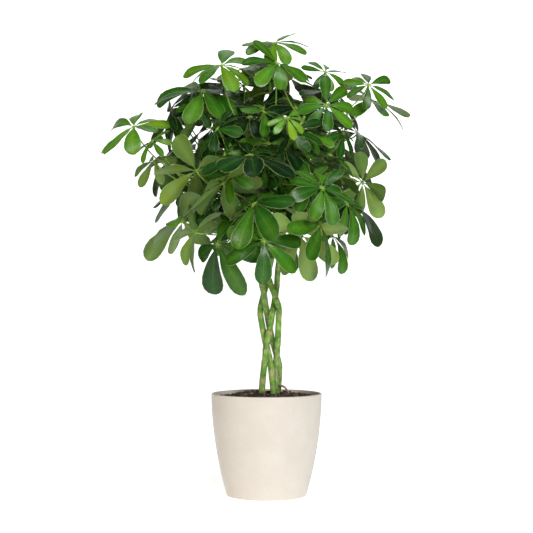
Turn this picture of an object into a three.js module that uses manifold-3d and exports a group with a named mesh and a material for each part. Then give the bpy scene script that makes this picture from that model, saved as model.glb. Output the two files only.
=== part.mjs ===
// A potted umbrella tree (dwarf schefflera) grown as a standard: four green stems braided into one trunk,
// a round crown of hand-shaped leaves, peat soil and a plain cream pot. Millimetres, +Z up; the origin is
// the middle of the pot's underside, and -Y is the side that the crown's best leaves face.
import * as THREE from "three";
import { mergeVertices } from "three/addons/utils/BufferGeometryUtils.js";
import Module from "manifold-3d";

const wasm = await Module();
wasm.setup();

// ---- Driving dimensions ----
const POT_HEIGHT = 230;
const POT_RIM_RADIUS = 125;
const POT_FOOT_RADIUS = 90;
const POT_WALL = 4;
const POT_FLOOR = 6;
const POT_CURVE = 1.9; // power of the wall's curve: 1 is a straight cone
const POT_SIDES = 30;
const SOIL_EDGE = 216; // height where the soil meets the wall
const SOIL_MOUND = 13; // how much higher it lies round the stems
const GAP = 0.35; // between pieces that touch
const STEM_RADIUS = 7.3;
const TWIG_RADIUS = 4.2;
const PETIOLE_RADIUS = 1.7;
const HUB_RADIUS = 3.6; // the knob where the leaflets meet
const HUB_HEIGHT = 2.2;
const BLADE = 0.8; // leaf thickness
const BROADNESS = 0.42; // a full-grown leaflet's greatest width over its length
// A leaflet from hub 0 to tip 1: the share of its length, its width over the greatest, its thickness.
const OUTLINE = [[0.28, 0.4, 1.2], [0.68, 1, BLADE], [1, 0.42, BLADE]];

// ---- Colours ----
const CREAM_PLASTIC = { color: "#efe7da", roughness: 0.55, metalness: 0 };
const PEAT = { color: "#43342d", roughness: 0.98, metalness: 0 };
const GREEN_BARK = { color: "#7c8f4a", roughness: 0.75, metalness: 0 };
const LEAF_GREEN = { color: "#3f7a34", roughness: 0.42, metalness: 0 };

// ---- The four braided stems: hand-set points from inside the soil up to the shoot's tip ----
const STEMS = {
  a: [
    [24, 18, 190], [26, 18, 230], [29, 19.5, 280], [27.5, 20.5, 298], [23, 18.5, 315], [18, 15, 333],
    [12, 13, 352], [3, 9.5, 400], [0.5, 2, 415], [-2, -7, 430], [-6, -11, 455], [-11, -13, 480],
    [-8, -17, 505], [-5, -15, 545], [-4, -14, 580], [-2, -28, 640], [-28, -48, 720], [-42, -58, 800],
    [-50, -45, 870],
  ],
  b: [
    [16, -12, 190], [16, -12, 230], [11, -6, 280], [8.5, -2, 298], [5, 0.5, 315], [1, 2, 333],
    [-4, 3, 352], [-13, 5, 400], [-14, 8.5, 415], [-12, 9, 430], [-6, 9, 455], [0, 11, 480],
    [6, 14, 510], [14, 8, 545], [21, 6, 580], [20, 15, 640], [14, 0, 720], [15, -6, 800], [12, 4, 880],
    [10, 10, 940],
  ],
  c: [
    [-12, -4, 190], [-11, -4, 230], [-6.5, -8, 280], [-4.5, -10.5, 298], [-2.5, -14, 315], [-1, -15, 333],
    [2.5, -15, 352], [11.5, -12, 400], [14, -6, 415], [17, 1, 430], [21, 5, 455], [24, 5, 480],
    [26, 0, 510], [30, -8, 545], [34, -14, 580], [55, -20, 640], [80, -10, 720], [95, 10, 790],
    [98, 25, 850],
  ],
  d: [
    [19, 3, 190], [19.5, 3.5, 230], [21, 6, 280], [22, 5, 298], [23, 2, 315], [24.5, -1, 333],
    [26, -3, 352], [27.5, -8, 400], [28.5, -11.5, 415], [26, -14, 430], [17, -13, 455], [8, -9, 480],
    [-3, 0, 507], [-19, -3, 545], [-38, -8, 580], [-72, 8, 640], [-92, 38, 710], [-86, 60, 790],
  ],
};

// A surface root: it leaves stem a just above the soil and arches into it.
const SURFACE_ROOT = [[28, 12, 246], [41, 4, 243], [50, 0, 229], [52, 0, 215]];
const ROOT_RADIUS = 2.6;

// ---- Side shoots: the stem that they grow from, then hand-set points outwards ----
const SHOOTS = [
  ["a", [[-22, -45, 700], [-60, -90, 740], [-85, -115, 790]]],
  ["a", [[-3, -22, 622], [-40, -80, 640], [-60, -120, 650]]],
  ["b", [[18, 8, 670], [30, 70, 720], [40, 120, 770]]],
  ["b", [[15, -3, 760], [60, -50, 800], [85, -70, 850]]],
  ["c", [[62, -18, 660], [105, -75, 690], [115, -110, 710]]],
  ["c", [[86, -4, 740], [140, 0, 770], [175, 5, 810]]],
  ["c", [[48, -18, 622], [100, 40, 660], [120, 80, 700]]],
  ["d", [[-80, 18, 665], [-130, 0, 690], [-165, -15, 730]]],
  ["d", [[-66, 5, 630], [-70, 70, 670], [-70, 115, 720]]],
];
const SHOOT_STEPS = 4;

// ---- Leaves: hub x, y, z; the way the upper face looks (turn round from +X, rise above the level);
// spin of the first leaflet, leaflet length, leaflets, droop of the umbrella, reach of the petiole.
// Angles in degrees. ----
const LEAVES = [
  [18, -20, 1022, -95, 62, 20, 84, 9, 0, 200],
  [25, -70, 967, -80, 54, 0, 88, 8, 0, 150],
  [-100, -85, 960, -97, 60, 12, 95, 9, 4, 150],
  [-144, -60, 906, -97, 60, -10, 118, 8, 4, 140],
  [-300, -20, 832, -118, 57, 25, 100, 8, -3, 190],
  [-257, -35, 798, -130, 35, 5, 54, 7, 10, 150],
  [-54, 60, 938, -90, 45, 0, 46, 6, 6, 110],
  [-37, -100, 843, -95, 56, 25, 84, 8, -6, 120],
  [44, -180, 831, -90, 40, 15, 50, 8, 34, 130],
  [134, 0, 959, -80, 44, 20, 58, 7, -4, 150],
  [133, -75, 873, -85, 26, 5, 74, 8, 4, 120],
  [230, -30, 925, -75, 36, 30, 68, 8, 8, 190],
  [242, 30, 900, -28, 60, 4, 104, 8, -4, 170],
  [95, -65, 813, -80, 52, 10, 62, 8, 10, 110],
  [67, -35, 872, -60, 34, 15, 84, 8, 8, 120],
  [-36, -195, 750, -98, 68, 18, 108, 8, -2, 150],
  [-153, -115, 724, 115, 42, 5, 100, 7, 4, 130],
  [-255, 5, 757, 130, 45, 25, 66, 7, 10, 130],
  [-94, -150, 694, 140, 50, 0, 108, 8, 10, 130],
  [130, -45, 752, 30, 60, 10, 80, 7, 6, 120],
  [95, -190, 691, -100, 30, 25, 74, 8, 6, 130],
  [118, -215, 678, -65, 42, 0, 82, 9, 4, 150],
  [218, 5, 708, 60, 22, 12, 86, 8, 0, 130],
  [36, -95, 775, -60, 68, 8, 88, 8, 6, 110],
  [-122, -45, 826, -130, 44, 16, 98, 8, 12, 120],
  [-216, 0, 876, -150, 26, 28, 76, 8, 8, 130],
  [-149, -78, 872, -95, 8, 0, 60, 6, 0, 120],
  [-25, -235, 644, -140, 42, 10, 112, 8, 18, 150],
  [-187, -60, 616, 140, 50, 22, 112, 8, 0, 130],
  [-156, -95, 590, 150, 20, 0, 94, 7, 6, 130],
  [-106, -155, 562, -120, 12, 41, 118, 7, 6, 120],
  [-57, -120, 592, 160, 40, 24, 92, 7, 6, 110],
  [-5, -205, 567, -80, 26, 5, 90, 7, 8, 150],
  [74, -165, 581, 105, 22, 27, 106, 8, 4, 130],
  [116, -180, 602, -30, 16, 18, 106, 7, 4, 140],
  [178, -70, 655, -30, 30, 6, 92, 8, 14, 120],
  [150, 10, 588, -20, 34, 22, 90, 7, 14, 120],
  [-8, -40, 872, -90, 34, 12, 84, 8, 10, 130],
];

const radians = THREE.MathUtils.degToRad;

// A hashed share between 0 and 1 that is the same on every run.
function share(i, j) {
  const s = (i + 1) * 0.6180339887 + (j + 1) * 0.7548776662;
  return s - Math.floor(s);
}

// Leaves of the crown's far side, two on each shoot: evenly round and up the crown.
const BACK_SHOOTS = 12;
const CROWN_MIDDLE = new THREE.Vector3(-5, 10, 765);
const CROWN_RADII = new THREE.Vector3(245, 215, 210);
function backLeaf(i, second) {
  const rise = -44 + 112 * ((i + 0.5) / BACK_SHOOTS) + (second ? 14 : -8);
  const turn = 90 + 60 * Math.sin(2.4 * i) + (second ? 16 : -16);
  const out = new THREE.Vector3(Math.cos(radians(turn)), Math.sin(radians(turn)), 0);
  const hub = out.multiplyScalar(Math.cos(radians(rise))).setZ(Math.sin(radians(rise)));
  hub.multiply(CROWN_RADII).add(CROWN_MIDDLE);
  const length = 94 + 22 * share(i, second ? 3 : 4);
  const lookUp = 32 + 0.3 * (rise + 48);
  const droop = 12 + 14 * share(i, 2);
  return [hub.x, hub.y, hub.z, turn, lookUp, 38 * share(i, 1), length, 7, droop, 135];
}

// ---- Solids from lists of corners ----
const group = new THREE.Group();

function addMesh(name, geometry, finish) {
  const mesh = new THREE.Mesh(geometry, new THREE.MeshStandardMaterial(finish));
  mesh.name = name;
  group.add(mesh);
}

function solidOf(geometry) {
  const bare = geometry.clone().deleteAttribute("normal").deleteAttribute("uv");
  const merged = mergeVertices(bare, 1e-4);
  const vertProperties = merged.attributes.position.array;
  const triVerts = new Uint32Array(merged.index.array);
  return new wasm.Manifold(new wasm.Mesh({ numProp: 3, vertProperties, triVerts }));
}

function geometryOf(solid) {
  const mesh = solid.getMesh();
  const geometry = new THREE.BufferGeometry();
  geometry.setAttribute("position", new THREE.BufferAttribute(mesh.vertProperties, 3));
  geometry.setIndex(new THREE.BufferAttribute(mesh.triVerts, 1));
  return geometry;
}

// Collects corners and triangles of one closed skin.
class Skin {
  corners = [];
  triangles = [];

  ring(points) {
    const first = this.corners.length;
    this.corners.push(...points);
    return points.map((_, i) => first + i);
  }

  // The band between two rings of the same count, seen from outside with the second ring ahead.
  band(low, high) {
    low.forEach((a, i) => {
      const next = (i + 1) % low.length;
      this.triangles.push(a, low[next], high[next], a, high[next], high[i]);
    });
  }

  // The band between two four-sided rings of a blade, its two faces split along the same diagonal, so
  // that they stay apart however the blade is rolled.
  bladeBand(low, high) {
    low.forEach((a, i) => {
      const next = (i + 1) % 4;
      if (i < 2) this.triangles.push(a, high[next], low[next], a, high[i], high[next]);
      else this.triangles.push(a, high[i], low[next], low[next], high[i], high[next]);
    });
  }

  // The band between a small ring and a larger one of another count, both starting on the same side.
  funnel(low, high) {
    let i = 0;
    let j = 0;
    while (i < low.length || j < high.length) {
      const a = low[i % low.length];
      const b = high[j % high.length];
      if ((i + 1) / low.length <= (j + 1) / high.length) {
        this.triangles.push(a, low[(i + 1) % low.length], b);
        i += 1;
      } else {
        this.triangles.push(a, high[(j + 1) % high.length], b);
        j += 1;
      }
    }
  }

  cap(ring) {
    for (let i = 1; i < ring.length - 1; i += 1) this.triangles.push(ring[0], ring[i], ring[i + 1]);
  }

  geometry() {
    const geometry = new THREE.BufferGeometry().setFromPoints(this.corners);
    return geometry.setIndex(this.triangles);
  }
}

// ---- Pot: a turned wall with a rounded rim, open at the top ----
function wallRadius(z) {
  const rise = 1 - (1 - z / POT_HEIGHT) ** POT_CURVE;
  return POT_FOOT_RADIUS + (POT_RIM_RADIUS - POT_FOOT_RADIUS) * rise;
}

const INSIDE_HEIGHTS = [190, 100, 30];

function pot() {
  const heights = [4, 60, 120, 178, POT_HEIGHT - 1.5];
  const profile = [[0, 0], [POT_FOOT_RADIUS - 3, 0]];
  heights.forEach((z) => profile.push([wallRadius(z), z]));
  profile.push([POT_RIM_RADIUS - 1.4, POT_HEIGHT], [POT_RIM_RADIUS - POT_WALL + 1.4, POT_HEIGHT]);
  profile.push([POT_RIM_RADIUS - POT_WALL, POT_HEIGHT - 1.5]);
  INSIDE_HEIGHTS.forEach((z) => profile.push([wallRadius(z) - POT_WALL, z]));
  profile.push([POT_FOOT_RADIUS - POT_WALL - 3, POT_FLOOR], [0, POT_FLOOR]);
  const turned = new THREE.LatheGeometry(profile.map(([r, z]) => new THREE.Vector2(r, z)), POT_SIDES);
  return geometryOf(solidOf(turned.rotateX(Math.PI / 2)));
}

// ---- Stems and side shoots ----
const STEM_SIDES = 6;
const STEM_STEPS = 28;
const SHOOT_SIDES = 5;

function curveOf(points) {
  const corners = points.map(([x, y, z]) => new THREE.Vector3(x, y, z));
  return new THREE.CatmullRomCurve3(corners, false, "catmullrom", 0.5);
}

function tube(points, radius, sides, steps) {
  const section = new THREE.Shape();
  for (let i = 0; i < sides; i += 1) {
    const turn = (2 * Math.PI * i) / sides;
    if (i) section.lineTo(radius * Math.cos(turn), radius * Math.sin(turn));
    else section.moveTo(radius, 0);
  }
  section.closePath();
  const settings = { extrudePath: curveOf(points), steps, curveSegments: 1 };
  return solidOf(new THREE.ExtrudeGeometry(section, settings));
}

function stem(letter) {
  const trunk = tube(STEMS[letter], STEM_RADIUS, STEM_SIDES, STEM_STEPS);
  const twig = (points, radius) => tube(points, radius, SHOOT_SIDES, SHOOT_STEPS);
  const side = SHOOTS.filter(([from]) => from === letter).map(([, points]) => twig(points, TWIG_RADIUS));
  if (letter === "a") side.push(twig(SURFACE_ROOT, ROOT_RADIUS));
  return side.reduce((whole, piece) => whole.add(piece), trunk);
}

// ---- Soil: fills the pot to a low mound, with a plain hole for each stem ----
function soil(stems) {
  const profile = [[0, POT_FLOOR + GAP], [POT_FOOT_RADIUS - POT_WALL - 4, POT_FLOOR + GAP]];
  const edge = wallRadius(SOIL_EDGE) - POT_WALL - 2 * GAP;
  [...INSIDE_HEIGHTS].reverse().forEach((z) => profile.push([wallRadius(z) - POT_WALL - 2 * GAP, z]));
  profile.push([edge, SOIL_EDGE]);
  [0.7, 0.4, 0].forEach((s) => profile.push([edge * s, SOIL_EDGE + SOIL_MOUND * (1 - s * s)]));
  const turned = new THREE.LatheGeometry(profile.map(([r, z]) => new THREE.Vector2(r, z)), POT_SIDES);
  const whole = solidOf(turned.rotateX(Math.PI / 2));
  const stemHoles = Object.values(STEMS).map((points) => {
    const hole = points.slice(0, 3).map(([x, y, z], i) => [x, y, i ? z : z - 1]);
    return tube(hole, STEM_RADIUS + 1.2, 8, 3);
  });
  const rootHole = tube([[50, 0, 235], [52, 0, 214]], ROOT_RADIUS + 1.2, 8, 1);
  return [...stemHoles, rootHole].reduce((left, hole) => left.subtract(hole), whole);
}

// ---- Where petioles may grow: evenly spaced places on the upper stems and along the shoots ----
const FIRST_NODE = 585; // no leaves below this height on a stem
const NODE_STEPS = 40;
const SHOOT_NODES = 5;

function growthPlaces() {
  const places = [];
  const mark = (points, radius, count, lowest) => {
    const curve = curveOf(points);
    for (let i = 1; i <= count; i += 1) {
      const t = (i - 0.5) / count;
      const at = curve.getPoint(t);
      const along = curve.getPoint(t + 0.01).sub(curve.getPoint(t - 0.01)).normalize();
      if (at.z > lowest) places.push({ at, along, radius, taken: false });
    }
  };
  Object.values(STEMS).forEach((points) => mark(points, STEM_RADIUS, NODE_STEPS, FIRST_NODE));
  SHOOTS.forEach(([, points]) => mark(points, TWIG_RADIUS, SHOOT_NODES, 0));
  return places;
}

// The places in order of how well they suit a hub: below it, at about the petiole's wanted reach.
function placesFor(hub, wanted, places) {
  const cost = (place) => {
    const reach = place.at.distanceTo(hub);
    return Math.abs(reach - wanted) + 0.9 * Math.max(0, place.at.z - hub.z + 40);
  };
  const costs = new Map(places.map((place) => [place, cost(place)]));
  return places.filter((place) => !place.taken).sort((a, b) => costs.get(a) - costs.get(b));
}

const hubOf = ([x, y, z]) => new THREE.Vector3(x, y, z);

// ---- One leaf ----
const ROOT_FLARE = 1.5; // the petiole's foot over its upper radius
const PETIOLE_SIDES = 3;
const PETIOLE_STEPS = 3;
// How far leaflets stray from a perfect parasol: sideways, in length, up and down, and rolled to the tip.
const WANDER = 0.25;
const SHRINK = 0.14;
const NOD = 0.5;
const TWIST = 1.3;
// Ways in which a leaflet may turn, drop, roll and shorten to pass its neighbours: degrees and a factor.
const BENDS = [
  [0, 0, 0, 1], [0, 12, 0, 1], [0, -12, 0, 1], [9, 0, 12, 1], [-9, 0, -12, 1], [0, 24, 0, 1],
  [0, -22, 0, 1], [9, 14, 0, 1], [-9, 14, 0, 1], [9, -14, 0, 1], [-9, -14, 0, 1], [0, 0, 0, 0.8],
  [0, 36, 0, 0.9], [10, 26, 16, 0.9], [-10, 26, -16, 0.9], [10, -24, 16, 0.9], [-10, -24, -16, 0.9],
  [0, 16, 0, 0.72], [0, -16, 0, 0.72], [0, 48, 0, 0.8], [0, -36, 0, 0.75], [0, 8, 0, 0.6],
  [0, -30, 0, 0.6], [0, 40, 0, 0.6],
];

class Leaf {
  constructor(row, index) {
    const [, , , turn, rise, spin, length, count, droop, reach] = row;
    Object.assign(this, { index, length, count, reach, droop: radians(droop), spin: radians(spin) });
    this.hub = hubOf(row);
    const level = Math.cos(radians(rise));
    this.face = new THREE.Vector3(Math.cos(radians(turn)) * level, Math.sin(radians(turn)) * level,
      Math.sin(radians(rise)));
    this.right = new THREE.Vector3(-Math.sin(radians(turn)), Math.cos(radians(turn)), 0);
    this.up = new THREE.Vector3().crossVectors(this.face, this.right);
    this.breadth = BROADNESS * (0.55 + 0.45 * Math.min(1, length / 90)); // young leaflets are narrower
    this.bends = new Array(count).fill(0);
  }

  // The direction out from the hub at a turn round the leaf's face.
  outward(turn) {
    const sideways = this.right.clone().multiplyScalar(Math.cos(turn));
    return sideways.addScaledVector(this.up, Math.sin(turn));
  }

  corner(j) {
    return this.spin + (2 * Math.PI * (j - 0.5)) / this.count;
  }

  // A leaflet's four sections: the hub's side, the end of its stalk, its widest place and its tip.
  sections(j, thicker) {
    const [yaw, drop, roll, shorter] = BENDS[this.bends[j]];
    const wobble = share(this.index, j) - 0.5;
    const twist = share(3 * this.index, 5 * j) - 0.5;
    const turn = this.spin + (2 * Math.PI * (j + WANDER * wobble)) / this.count;
    const root = this.outward(turn);
    const aim = this.outward(turn + radians(yaw));
    const sunny = root.dot(this.hub.clone().sub(CROWN_MIDDLE).normalize());
    const length = this.length * shorter * (0.98 + 0.12 * sunny - SHRINK * share(j, this.index));
    const start = this.droop * (0.5 + 0.5 * root.z) + radians(drop) + NOD * wobble;
    const arch = 0.15 + 0.75 * share(this.index + j, 7);
    const tilt = radians(roll) + TWIST * twist;
    const across = new THREE.Vector3().crossVectors(this.face, aim);
    return OUTLINE.map(([t, fullness, depth]) => {
      const dip = start + arch * t;
      const middle = this.hub.clone().addScaledVector(root, HUB_RADIUS)
        .addScaledVector(aim, (length * (Math.sin(dip) - Math.sin(start))) / arch)
        .addScaledVector(this.face, (-length * (Math.cos(start) - Math.cos(dip))) / arch);
      const over = this.face.clone().multiplyScalar(Math.cos(dip)).addScaledVector(aim, Math.sin(dip));
      const turned = (one, other, angle) =>
        one.clone().multiplyScalar(Math.cos(angle)).addScaledVector(other, Math.sin(angle));
      const side = turned(across, over, tilt * t);
      const above = turned(over, across, -tilt * t);
      const half = (fullness * this.breadth * length) / 2 + thicker;
      const thick = depth / 2 + thicker;
      return [[-half, thick], [half, thick], [half, -thick], [-half, -thick]].map(([w, h]) =>
        middle.clone().addScaledVector(side, w).addScaledVector(above, h));
    });
  }

  // The side of the hub that a leaflet grows from.
  rootSection(j, thicker) {
    const half = HUB_HEIGHT / 2 + thicker;
    const sides = [[0, half], [1, half], [1, -half], [0, -half]];
    return sides.map(([next, rise]) => this.hub.clone()
      .addScaledVector(this.outward(this.corner(j + next)), HUB_RADIUS).addScaledVector(this.face, rise));
  }

  // The petiole's middle line, from the stem's skin to the hub.
  petioleCurve() {
    const { at, along, radius } = this.place;
    const reach = this.hub.clone().sub(at);
    const out = this.towards.clone().sub(at);
    out.addScaledVector(along, -out.dot(along)).normalize();
    const foot = at.clone().addScaledVector(out, radius + GAP);
    const far = reach.length();
    const low = foot.clone().addScaledVector(out, 0.3 * far).addScaledVector(along, 0.1 * far);
    const high = this.hub.clone().addScaledVector(this.face, -0.32 * far);
    const top = this.hub.clone().addScaledVector(this.face, -HUB_HEIGHT / 2 - 4);
    return { out, curve: new THREE.CubicBezierCurve3(foot, low, high, top) };
  }

  // Adds the petiole's rings to a skin, foot first, and returns them.
  petioleRings(skin, thicker) {
    const { out, curve } = this.petioleCurve();
    const rings = [];
    let side = this.outward(this.corner(0));
    for (let k = PETIOLE_STEPS; k >= 0; k -= 1) {
      const along = k ? curve.getTangent(k / PETIOLE_STEPS) : out;
      side = side.clone().addScaledVector(along, -side.dot(along)).normalize();
      const across = new THREE.Vector3().crossVectors(along, side);
      const radius = PETIOLE_RADIUS * (k ? 1 : ROOT_FLARE) + thicker;
      const middle = curve.getPoint(k / PETIOLE_STEPS);
      const points = Array.from({ length: PETIOLE_SIDES }, (_, i) => {
        const turn = (2 * Math.PI * i) / PETIOLE_SIDES;
        return middle.clone().addScaledVector(side, radius * Math.cos(turn))
          .addScaledVector(across, radius * Math.sin(turn));
      });
      rings.unshift(skin.ring(points));
    }
    for (let k = 0; k < PETIOLE_STEPS; k += 1) skin.band(rings[k], rings[k + 1]);
    skin.cap([...rings[0]].reverse());
    return rings;
  }

  // The petiole alone, a little thicker, for finding what it would touch.
  petioleSolid(thicker) {
    const skin = new Skin();
    const rings = this.petioleRings(skin, thicker);
    const knob = [0, 1, 2].map((i) => this.hub.clone().addScaledVector(this.face, HUB_HEIGHT / 2 + thicker)
      .addScaledVector(this.outward(this.corner(0) + (2 * Math.PI * i) / 3), 2 * HUB_RADIUS + thicker));
    const top = skin.ring(knob);
    skin.band(rings[PETIOLE_STEPS], top);
    skin.cap(top);
    return solidOf(skin.geometry());
  }

  // One leaflet alone, a little thicker, for finding what it would touch: to the hub, or its blade only.
  leafletSolid(j, thicker, toHub) {
    const skin = new Skin();
    const sections = this.sections(j, thicker);
    if (toHub) sections.unshift(this.rootSection(j, thicker));
    const [first, ...rest] = sections.map((points) => skin.ring(points));
    skin.cap(first);
    const last = rest.reduce((low, high) => {
      skin.bladeBand(low, high);
      return high;
    }, first);
    skin.cap([...last].reverse());
    return solidOf(skin.geometry());
  }

  // The whole leaf as one skin: petiole, hub, and a leaflet on each side of the hub.
  solid() {
    const skin = new Skin();
    const rings = this.petioleRings(skin, 0);
    const half = HUB_HEIGHT / 2;
    const knob = (rise) => Array.from({ length: this.count }, (_, j) => this.hub.clone()
      .addScaledVector(this.outward(this.corner(j)), HUB_RADIUS).addScaledVector(this.face, rise));
    const top = skin.ring(knob(half));
    const under = skin.ring(knob(-half));
    skin.funnel(rings[PETIOLE_STEPS], under);
    skin.cap(top);
    for (let j = 0; j < this.count; j += 1) {
      const next = (j + 1) % this.count;
      const root = [top[j], top[next], under[next], under[j]];
      if (this.bends[j] < 0) {
        skin.cap([...root].reverse());
        continue;
      }
      const last = this.sections(j, 0).map((points) => skin.ring(points)).reduce((low, high) => {
        skin.bladeBand(low, high);
        return high;
      }, root);
      skin.cap([...last].reverse());
    }
    return solidOf(skin.geometry());
  }
}

// ---- Letting the leaves make room for each other ----
class Crown {
  taken = [];

  add(solid, leaf) {
    this.taken.push({ solid, leaf, box: solid.boundingBox() });
  }

  // Whether a solid touches nothing but the pieces that it may.
  isFree(solid, mayTouch) {
    const box = solid.boundingBox();
    const near = this.taken.filter((other) => !mayTouch(other.leaf)
      && [0, 1, 2].every((k) => box.min[k] < other.box.max[k] && box.max[k] > other.box.min[k]));
    const free = near.every((other) => {
      const common = solid.intersect(other.solid);
      const apart = common.isEmpty();
      common.delete();
      return apart;
    });
    solid.delete();
    return free;
  }
}

// Whether the petioles of a shoot's leaves can grow from a place and touch nothing.
function petiolesFit(shoot, place, crown) {
  return shoot.every((leaf) => {
    leaf.place = place;
    return crown.isFree(leaf.petioleSolid(GAP), () => false);
  });
}

// Lets each leaflet take the first of its ways that touches nothing; -1 leaves it out.
function bendLeaflets(leaf, crown) {
  for (let j = 0; j < leaf.count; j += 1) {
    leaf.bends[j] = BENDS.findIndex((_, k) => {
      leaf.bends[j] = k;
      return crown.isFree(leaf.leafletSolid(j, GAP, true), (other) => other === leaf)
        && crown.isFree(leaf.leafletSolid(j, GAP, false), (other) => other !== leaf);
    });
    if (leaf.bends[j] >= 0) crown.add(leaf.leafletSolid(j, 0, true), leaf);
  }
}

// The shoots, each a list of leaves that grow from one place, with all their leaflets clear of each other.
function growShoots(stems) {
  const single = LEAVES.map((row, i) => [new Leaf(row, i)]);
  const paired = Array.from({ length: BACK_SHOOTS }, (_, i) =>
    [false, true].map((second) => new Leaf(backLeaf(i, second), LEAVES.length + 2 * i + Number(second))));
  const shoots = [...single, ...paired];
  const places = growthPlaces();
  const crown = new Crown();
  stems.forEach((solid) => crown.add(solid));
  shoots.forEach((shoot) => {
    const sum = shoot.reduce((total, leaf) => total.add(leaf.hub), new THREE.Vector3());
    const middle = sum.divideScalar(shoot.length);
    shoot.forEach((leaf) => Object.assign(leaf, { towards: middle }));
    const place = placesFor(middle, shoot[0].reach, places).find((one) => petiolesFit(shoot, one, crown));
    place.taken = true;
    shoot.forEach((leaf) => crown.add(leaf.petioleSolid(0), leaf));
  });
  shoots.flat().forEach((leaf) => bendLeaflets(leaf, crown));
  return shoots;
}

const stems = Object.keys(STEMS).map(stem);
addMesh("pot", pot(), CREAM_PLASTIC);
addMesh("soil", geometryOf(soil()), PEAT);
Object.keys(STEMS).forEach((letter, i) => addMesh(`stem_${letter}`, geometryOf(stems[i]), GREEN_BARK));
const shoots = growShoots(stems);
shoots.forEach((shoot, i) => {
  const name = `leaf_${String(i + 1).padStart(2, "0")}${shoot.length > 1 ? "_pair" : ""}`;
  const whole = shoot.map((leaf) => leaf.solid()).reduce((one, other) => one.add(other));
  addMesh(name, geometryOf(whole), LEAF_GREEN);
});

export default group;
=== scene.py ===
# %% [markdown]
# # A potted umbrella tree
# The packed solids already hold every stem, leaf, the soil and the pot at their real size. This lesson
# gives each of them its real surface: leaflets with a fold, a curl and veins, bark with leaf scars,
# crumbly peat and a smooth moulded pot. Nothing is moved: each new piece stands exactly where the
# solid that it replaces stands. Small shaded leaves, too many for the solids, are added between them.

# %% Load the fixed frame
import itertools
import math
import random

import bpy
import numpy as np
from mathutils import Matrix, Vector
from mathutils.bvhtree import BVHTree
from numpy.linalg import norm


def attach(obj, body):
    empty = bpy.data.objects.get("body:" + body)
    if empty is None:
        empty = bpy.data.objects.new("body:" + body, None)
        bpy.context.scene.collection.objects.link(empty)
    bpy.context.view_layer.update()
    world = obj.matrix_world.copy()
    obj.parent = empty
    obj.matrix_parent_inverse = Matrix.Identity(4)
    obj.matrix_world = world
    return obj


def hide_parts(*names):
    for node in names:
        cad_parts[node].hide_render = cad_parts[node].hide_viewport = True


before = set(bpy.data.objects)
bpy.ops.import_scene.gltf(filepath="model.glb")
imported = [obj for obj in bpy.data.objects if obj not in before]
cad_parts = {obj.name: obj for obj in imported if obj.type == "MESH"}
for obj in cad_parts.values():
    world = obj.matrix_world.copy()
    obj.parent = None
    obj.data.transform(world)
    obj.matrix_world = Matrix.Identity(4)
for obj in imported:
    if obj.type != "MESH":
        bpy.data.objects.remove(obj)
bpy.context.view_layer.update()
MM = 0.001  # the tables below are in millimetres, Blender works in metres
print("frame:", len(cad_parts), "solids")

# %% [markdown]
# ## The plant's own tables
# A plant has no drawing, but it has a habit: stems that wind round each other, shoots that leave them,
# and leaves whose hubs sit at the shoots' far ends. The habit is kept as short tables of
# points. The solids were made from the same tables, so a surface worked out from them fits its solid.

# %% Driving dimensions, mm
POT_HEIGHT, POT_RIM_RADIUS, POT_FOOT_RADIUS = 230, 125, 90
POT_WALL, POT_FLOOR = 4, 6
POT_CURVE = 1.9  # 1 is a straight flare, more bulges the wall outwards
SOIL_EDGE, SOIL_MOUND = 216, 13  # height at the wall, and how much higher the middle is
STEM_RADIUS, TWIG_RADIUS, ROOT_RADIUS = 7.3, 4.2, 2.6
GAP = 0.35  # between a stem and a petiole's foot
PETIOLE_RADIUS, ROOT_FLARE = 1.7, 1.5  # the foot is thicker by the flare
HUB_RADIUS, HUB_HEIGHT = 3.6, 2.2
BROADNESS = 0.42  # a grown leaflet's width over its length
FIRST_NODE = 585  # no leaf grows lower
NODE_STEPS, SHOOT_NODES = 40, 5  # growth places along a stem and a shoot
WANDER, SHRINK, NOD, TWIST = 0.25, 0.14, 0.5, 1.3  # how far leaflets stray from a perfect parasol
BACK_SHOOTS = 12
CROWN_MIDDLE = np.array((-5.0, 10.0, 765.0))
CROWN_RADII = np.array((245.0, 215.0, 210.0))
print("pot:", POT_HEIGHT, "mm tall,", 2 * POT_RIM_RADIUS, "mm across its rim")
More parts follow.
